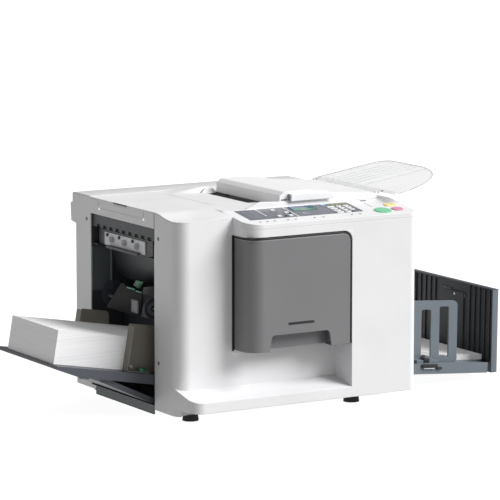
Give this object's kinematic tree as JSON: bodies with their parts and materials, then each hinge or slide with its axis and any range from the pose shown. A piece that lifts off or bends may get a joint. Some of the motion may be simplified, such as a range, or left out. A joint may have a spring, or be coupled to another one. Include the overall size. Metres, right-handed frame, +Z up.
{
  "type": "digital duplicator",
  "caption": "Desktop digital stencil duplicator with feed tray, hinged drum door, keyed control panel, lifting document lid with a folding clear tray, and a delivery tray with sliding guides.",
  "frame": {"origin": "middle of the whole object's box in plan, on the floor under the feet", "axes": "+X from the feed tray to the delivery tray, +Y from the front panel to the back, +Z up"},
  "size_m": [1.306, 0.6558, 0.5726],
  "materials": {
    "body_white": "fine matt, warm white",
    "door_grey": "satin mid grey",
    "pocket_grey": "matt light grey",
    "panel_dark": "satin slate",
    "display": "clear lens over a blue-grey display",
    "key_white": "satin",
    "key_green": "satin green",
    "key_pink": "satin pink",
    "key_yellow": "satin yellow",
    "bay_dark": "matt near black",
    "box_grey": "matt dark grey",
    "tray_slate": "satin blue slate",
    "guide_taupe": "matt grey brown",
    "lever_green": "satin green",
    "paper": "uncoated white paper",
    "rubber_black": "matt",
    "roller_rubber": "matt grey",
    "pad_grey": "matt light grey",
    "steel": "plated",
    "frame_steel": "zinc grey",
    "pin_steel": "bright",
    "motor_black": "semi gloss black",
    "screen_mesh": "fine mesh",
    "carrier_grey": "matt",
    "ink_bottle": "satin black",
    "scanner_dark": "matt",
    "platen_glass": "polished",
    "clear_tray": "clear smoked plastic",
    "master_film": "waxed film"
  },
  "bodies": {
    "machine": {"base_pan": "frame_steel", "rubber_feet": "rubber_black", "front_cover": "body_white", "feed_side_cover": "body_white", "exit_side_cover": "body_white", "rear_cover": "body_white", "top_cover": "body_white", "scanner_frame": "scanner_dark", "scanner_glass": "platen_glass", "panel_housing": "body_white", "panel_overlay": "panel_dark", "display_window": "display", "frame_plates": "frame_steel", "feed_bay_liner": "bay_dark", "separation_pad": "pad_grey", "cover_screws": "steel", "drive_motor": "motor_black", "power_inlet": "rubber_black", "door_hinge_pins": "pin_steel", "drum_carrier": "carrier_grey", "ink_cartridge": "ink_bottle", "receiving_tray": "tray_slate", "printed_sheets": "paper"},
    "drum_door": {"front_door": "door_grey", "door_handle_pocket": "pocket_grey"},
    "drum": {"drum_screen": "screen_mesh", "drum_flanges": "carrier_grey"},
    "pressure_roller": {"pressure_roller": "roller_rubber"},
    "pickup_roller": {"pickup_roller": "roller_rubber"},
    "disposal_box": {"disposal_box": "box_grey"},
    "master_cover": {"master_cover": "body_white"},
    "master_roll": {"master_roll": "master_film"},
    "feed_tray": {"feed_tray": "tray_slate", "tray_support": "tray_slate", "paper_stack": "paper"},
    "feed_guide_front": {"feed_guide_front": "guide_taupe"},
    "feed_guide_rear": {"feed_guide_rear": "guide_taupe"},
    "guide_lock_lever": {"guide_lock_lever": "lever_green"},
    "feed_pressure_lever": {"feed_pressure_lever": "lever_green"},
    "receiving_guide_front": {"receiving_guide_front": "tray_slate"},
    "receiving_guide_rear": {"receiving_guide_rear": "tray_slate"},
    "paper_stopper": {"paper_stopper": "bay_dark"},
    "feeder_lid": {"feeder_lid": "body_white"},
    "original_tray": {"original_tray": "clear_tray"},
    "power_switch": {"power_switch": "motor_black"},
    "number_key_star": {"number_key_star": "key_white"},
    "number_key_0": {"number_key_0": "key_white"},
    "number_key_clear": {"number_key_clear": "key_white"},
    "number_key_7": {"number_key_7": "key_white"},
    "number_key_8": {"number_key_8": "key_white"},
    "number_key_9": {"number_key_9": "key_white"},
    "number_key_4": {"number_key_4": "key_white"},
    "number_key_5": {"number_key_5": "key_white"},
    "number_key_6": {"number_key_6": "key_white"},
    "number_key_1": {"number_key_1": "key_white"},
    "number_key_2": {"number_key_2": "key_white"},
    "number_key_3": {"number_key_3": "key_white"},
    "start_key": {"start_key": "key_green"},
    "stop_key": {"stop_key": "key_pink"},
    "test_key": {"test_key": "key_yellow"}
  },
  "joints": [
    {"name": "drum_door_hinge", "type": "hinge", "parent": "machine", "child": "drum_door", "pos_m": [-0.21096, -0.25894, 0.32], "axis": [0, 0, -1], "range_deg": [0, 95]},
    {"name": "drum_spin", "type": "hinge", "parent": "machine", "child": "drum", "pos_m": [-0.06896, 0.04456, 0.312], "axis": [0, 1, 0], "continuous": true},
    {"name": "pressure_roller_spin", "type": "hinge", "parent": "machine", "child": "pressure_roller", "pos_m": [-0.06896, 0.04456, 0.1917], "axis": [0, 1, 0], "continuous": true},
    {"name": "pickup_roller_spin", "type": "hinge", "parent": "machine", "child": "pickup_roller", "pos_m": [-0.32596, 0.04456, 0.256], "axis": [0, 1, 0], "continuous": true},
    {"name": "disposal_box_slide", "type": "slide", "parent": "machine", "child": "disposal_box", "axis": [-1, 0, 0], "range_m": [0, 0.15]},
    {"name": "master_cover_hinge", "type": "hinge", "parent": "machine", "child": "master_cover", "pos_m": [-0.19696, -0.07044, 0.513], "axis": [0, 1, 0], "range_deg": [0, 85]},
    {"name": "master_roll_spin", "type": "hinge", "parent": "machine", "child": "master_roll", "pos_m": [-0.27296, 0.04456, 0.474], "axis": [0, 1, 0], "continuous": true},
    {"name": "feed_tray_lift", "type": "slide", "parent": "machine", "child": "feed_tray", "axis": [0, 0, 1], "range_m": [0, 0.038]},
    {"name": "feed_guide_front_slide", "type": "slide", "parent": "feed_tray", "child": "feed_guide_front", "axis": [0, -1, 0], "range_m": [0, 0.034]},
    {"name": "feed_guide_rear_slide", "type": "slide", "parent": "feed_tray", "child": "feed_guide_rear", "axis": [0, 1, 0], "range_m": [0, 0.034]},
    {"name": "guide_lock_turn", "type": "hinge", "parent": "feed_guide_front", "child": "guide_lock_lever", "pos_m": [-0.40306, -0.09974, 0.11242], "axis": [-0.1719, 0, -0.9851], "range_deg": [0, 60]},
    {"name": "feed_pressure_turn", "type": "hinge", "parent": "machine", "child": "feed_pressure_lever", "pos_m": [-0.32596, 0.05806, 0.304], "axis": [1, 0, 0], "range_deg": [-20, 20]},
    {"name": "receiving_guide_front_slide", "type": "slide", "parent": "machine", "child": "receiving_guide_front", "axis": [0, 1, 0], "range_m": [-0.009, 0.016]},
    {"name": "receiving_guide_rear_slide", "type": "slide", "parent": "machine", "child": "receiving_guide_rear", "axis": [0, -1, 0], "range_m": [-0.009, 0.016]},
    {"name": "paper_stopper_slide", "type": "slide", "parent": "machine", "child": "paper_stopper", "axis": [0.9971, 0, -0.0767], "range_m": [0, 0.035]},
    {"name": "feeder_lid_hinge", "type": "hinge", "parent": "machine", "child": "feeder_lid", "pos_m": [0.10004, 0.13806, 0.521], "axis": [-1, 0, 0], "range_deg": [0, 65]},
    {"name": "original_tray_fold", "type": "hinge", "parent": "feeder_lid", "child": "original_tray", "pos_m": [0.25304, 0.04456, 0.536], "axis": [0, -1, 0], "range_deg": [0, 160]},
    {"name": "power_switch_rock", "type": "hinge", "parent": "machine", "child": "power_switch", "pos_m": [0.27704, 0.26206, 0.33], "axis": [0, -1, 0], "range_deg": [0, 12]},
    {"name": "number_key_star_press", "type": "slide", "parent": "machine", "child": "number_key_star", "axis": [0, 0.1532, -0.9882], "range_m": [0, 0.0018], "stiffness_N_per_m": 300},
    {"name": "number_key_0_press", "type": "slide", "parent": "machine", "child": "number_key_0", "axis": [0, 0.1532, -0.9882], "range_m": [0, 0.0018], "stiffness_N_per_m": 300},
    {"name": "number_key_clear_press", "type": "slide", "parent": "machine", "child": "number_key_clear", "axis": [0, 0.1532, -0.9882], "range_m": [0, 0.0018], "stiffness_N_per_m": 300},
    {"name": "number_key_7_press", "type": "slide", "parent": "machine", "child": "number_key_7", "axis": [0, 0.1532, -0.9882], "range_m": [0, 0.0018], "stiffness_N_per_m": 300},
    {"name": "number_key_8_press", "type": "slide", "parent": "machine", "child": "number_key_8", "axis": [0, 0.1532, -0.9882], "range_m": [0, 0.0018], "stiffness_N_per_m": 300},
    {"name": "number_key_9_press", "type": "slide", "parent": "machine", "child": "number_key_9", "axis": [0, 0.1532, -0.9882], "range_m": [0, 0.0018], "stiffness_N_per_m": 300},
    {"name": "number_key_4_press", "type": "slide", "parent": "machine", "child": "number_key_4", "axis": [0, 0.1532, -0.9882], "range_m": [0, 0.0018], "stiffness_N_per_m": 300},
    {"name": "number_key_5_press", "type": "slide", "parent": "machine", "child": "number_key_5", "axis": [0, 0.1532, -0.9882], "range_m": [0, 0.0018], "stiffness_N_per_m": 300},
    {"name": "number_key_6_press", "type": "slide", "parent": "machine", "child": "number_key_6", "axis": [0, 0.1532, -0.9882], "range_m": [0, 0.0018], "stiffness_N_per_m": 300},
    {"name": "number_key_1_press", "type": "slide", "parent": "machine", "child": "number_key_1", "axis": [0, 0.1532, -0.9882], "range_m": [0, 0.0018], "stiffness_N_per_m": 300},
    {"name": "number_key_2_press", "type": "slide", "parent": "machine", "child": "number_key_2", "axis": [0, 0.1532, -0.9882], "range_m": [0, 0.0018], "stiffness_N_per_m": 300},
    {"name": "number_key_3_press", "type": "slide", "parent": "machine", "child": "number_key_3", "axis": [0, 0.1532, -0.9882], "range_m": [0, 0.0018], "stiffness_N_per_m": 300},
    {"name": "start_key_press", "type": "slide", "parent": "machine", "child": "start_key", "axis": [0, 0.1532, -0.9882], "range_m": [0, 0.0018], "stiffness_N_per_m": 300},
    {"name": "stop_key_press", "type": "slide", "parent": "machine", "child": "stop_key", "axis": [0, 0.1532, -0.9882], "range_m": [0, 0.0018], "stiffness_N_per_m": 300},
    {"name": "test_key_press", "type": "slide", "parent": "machine", "child": "test_key", "axis": [0, 0.1532, -0.9882], "range_m": [0, 0.0018], "stiffness_N_per_m": 300}
  ],
  "couplings": [
    {"joint": "pressure_roller_spin", "follows": "drum_spin", "ratio": -3},
    {"joint": "feed_guide_rear_slide", "follows": "feed_guide_front_slide", "ratio": 1},
    {"joint": "receiving_guide_rear_slide", "follows": "receiving_guide_front_slide", "ratio": 1}
  ]
}
